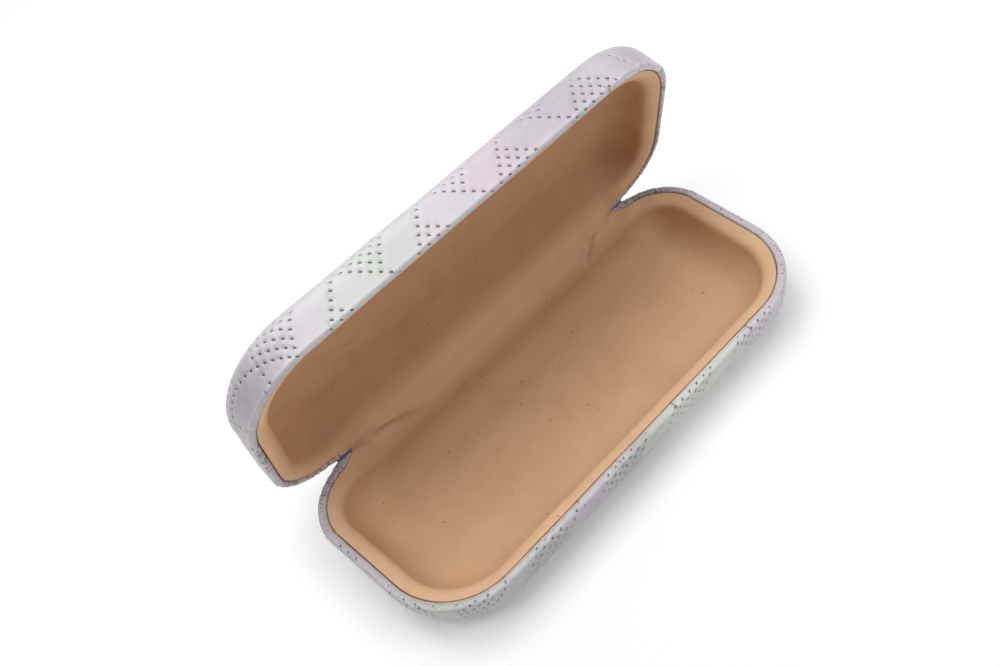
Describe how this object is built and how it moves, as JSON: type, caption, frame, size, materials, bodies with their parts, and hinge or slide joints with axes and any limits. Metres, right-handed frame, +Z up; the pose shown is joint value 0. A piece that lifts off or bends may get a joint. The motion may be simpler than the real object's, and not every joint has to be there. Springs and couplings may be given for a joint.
{
  "type": "eyeglasses case",
  "caption": "Hard clamshell eyeglasses case, standing open, with an embossed leatherette cover, a flocked lining and a sprung wire-pin hinge.",
  "frame": {"origin": "centre, in plan, of the flat underside of the base", "axes": "+X along the hinge, to the right seen from the front; +Y towards the hinge at the back; +Z up"},
  "size_m": [0.1624, 0.0803, 0.0835],
  "materials": {
    "leatherette": "pearlescent embossed PU leatherette, satin",
    "lining": "short matt flock",
    "pressed_steel": "bare pressed sheet",
    "hinge_steel": "zinc-plated strip and wire",
    "spring_steel": "blued spring strip",
    "rivet_metal": "plain"
  },
  "bodies": {
    "base": {"base_cover": "leatherette", "base_shell": "pressed_steel", "base_liner": "lining", "base_hinge_leaf": "hinge_steel", "hinge_pin": "hinge_steel", "snap_spring_left": "spring_steel", "snap_spring_right": "spring_steel", "base_rivet_outer_left": "rivet_metal", "base_rivet_outer_right": "rivet_metal", "base_rivet_inner_left": "rivet_metal", "base_rivet_inner_right": "rivet_metal", "base_rivet_centre_left": "rivet_metal", "base_rivet_centre_right": "rivet_metal", "spine_cover": "leatherette", "liner_bridge": "lining"},
    "lid": {"lid_cover": "leatherette", "lid_shell": "pressed_steel", "lid_liner": "lining", "lid_hinge_leaf": "hinge_steel", "lid_rivet_outer_left": "rivet_metal", "lid_rivet_outer_right": "rivet_metal", "lid_rivet_centre_left": "rivet_metal", "lid_rivet_centre_right": "rivet_metal"}
  },
  "joints": [
    {"name": "lid_hinge", "type": "hinge", "parent": "base", "child": "lid", "pos_m": [0, 0.0344, 0.016], "axis": [1, 0, 0], "range_deg": [0, 70], "deforming": ["spine_cover", "liner_bridge"]}
  ]
}
